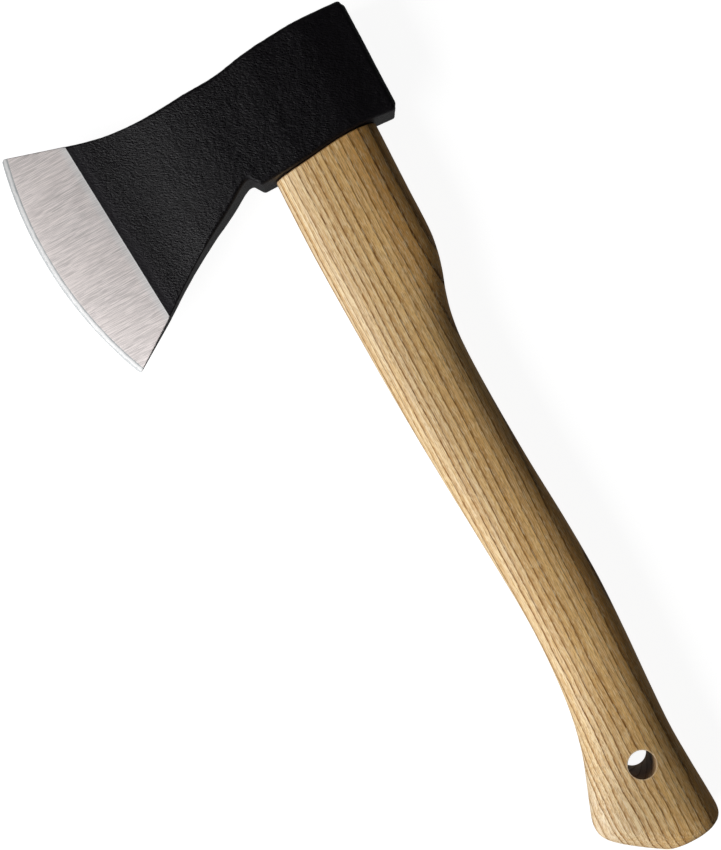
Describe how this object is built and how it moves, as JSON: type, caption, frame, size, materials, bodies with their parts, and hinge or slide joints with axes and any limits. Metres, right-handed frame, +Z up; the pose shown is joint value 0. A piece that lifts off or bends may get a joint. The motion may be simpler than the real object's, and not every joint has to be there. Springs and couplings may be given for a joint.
{
  "type": "hatchet",
  "caption": "One-handed splitting and limbing hatchet: forged head with a ground edge and flat poll, wedged on a curved ash handle with a hanging hole.",
  "frame": {"origin": "on the flat of the lower cheek, under the middle of the eye: the hatchet lies on its side on the plane Z = 0", "axes": "+X along the handle from the eye to the butt, +Y from the eye to the poll, +Z up across the cheeks, so the cutting edge faces -Y"},
  "size_m": [0.3887, 0.1623, 0.03],
  "materials": {
    "head_lacquer": "semi-matt black lacquer over forged steel, worn through to bare ground steel on the bevel",
    "handle_ash": "sanded and oiled ash, grain along the handle",
    "wedge_hardwood": "sawn hardwood, end grain showing",
    "wedge_steel": "plain hammered steel"
  },
  "bodies": {
    "root": {"axe_head": "head_lacquer", "handle": "handle_ash", "wooden_wedge": "wedge_hardwood", "ring_wedge": "wedge_steel"}
  },
  "joints": []
}
